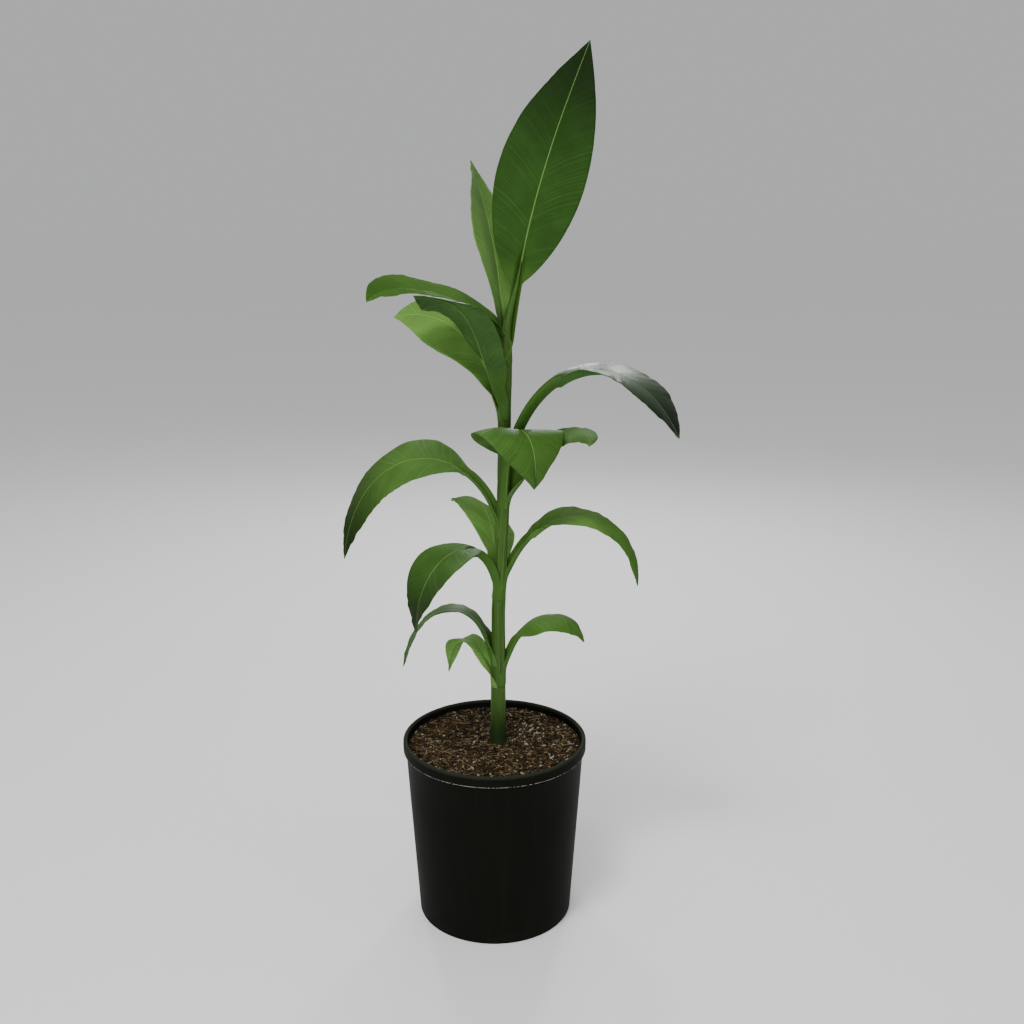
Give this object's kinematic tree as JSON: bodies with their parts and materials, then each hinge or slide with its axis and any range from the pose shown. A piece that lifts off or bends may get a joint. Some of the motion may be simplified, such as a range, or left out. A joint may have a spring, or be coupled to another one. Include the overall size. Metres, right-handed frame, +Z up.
{
  "type": "banana plant in a nursery pot",
  "caption": "Young banana plant with a slender upright stem and long arching leaves, growing in a round tapered nursery pot filled with bark potting mix.",
  "frame": {"origin": "centre of the pot's flat underside", "axes": "+Z up along the stem, -Y towards the front that the picture shows, +X to the picture's right"},
  "size_m": [0.4897, 0.3279, 1.2988],
  "materials": {
    "pot": "satin black moulded plastic, slightly lighter along the lip",
    "soil": "dark moist bark chips with fibres and pale grains",
    "stem": "smooth satin green leaf sheaths wrapped round each other",
    "leaf": "satin green with a pale midrib and fine side veins, paler and duller underneath"
  },
  "bodies": {
    "root": {"pot": "pot", "soil": "soil", "stem": "stem", "leaf_01": "leaf", "leaf_02": "leaf", "leaf_03_inner": "leaf", "leaf_03_outer": "leaf", "leaf_04_inner": "leaf", "leaf_04_outer": "leaf", "leaf_05_inner": "leaf", "leaf_05_outer": "leaf", "leaf_06_inner": "leaf", "leaf_06_outer": "leaf", "leaf_07_inner": "leaf", "leaf_07_outer": "leaf", "leaf_08_inner": "leaf", "leaf_08_outer": "leaf", "leaf_09_inner": "leaf", "leaf_09_outer": "leaf", "leaf_10_inner": "leaf", "leaf_10_outer": "leaf", "leaf_11_inner": "leaf", "leaf_11_outer": "leaf", "leaf_12_inner": "leaf", "leaf_12_outer": "leaf", "leaf_13_inner": "leaf", "leaf_13_outer": "leaf", "leaf_14_inner": "leaf", "leaf_14_outer": "leaf", "leaf_15_inner": "leaf", "leaf_15_outer": "leaf"}
  },
  "joints": []
}
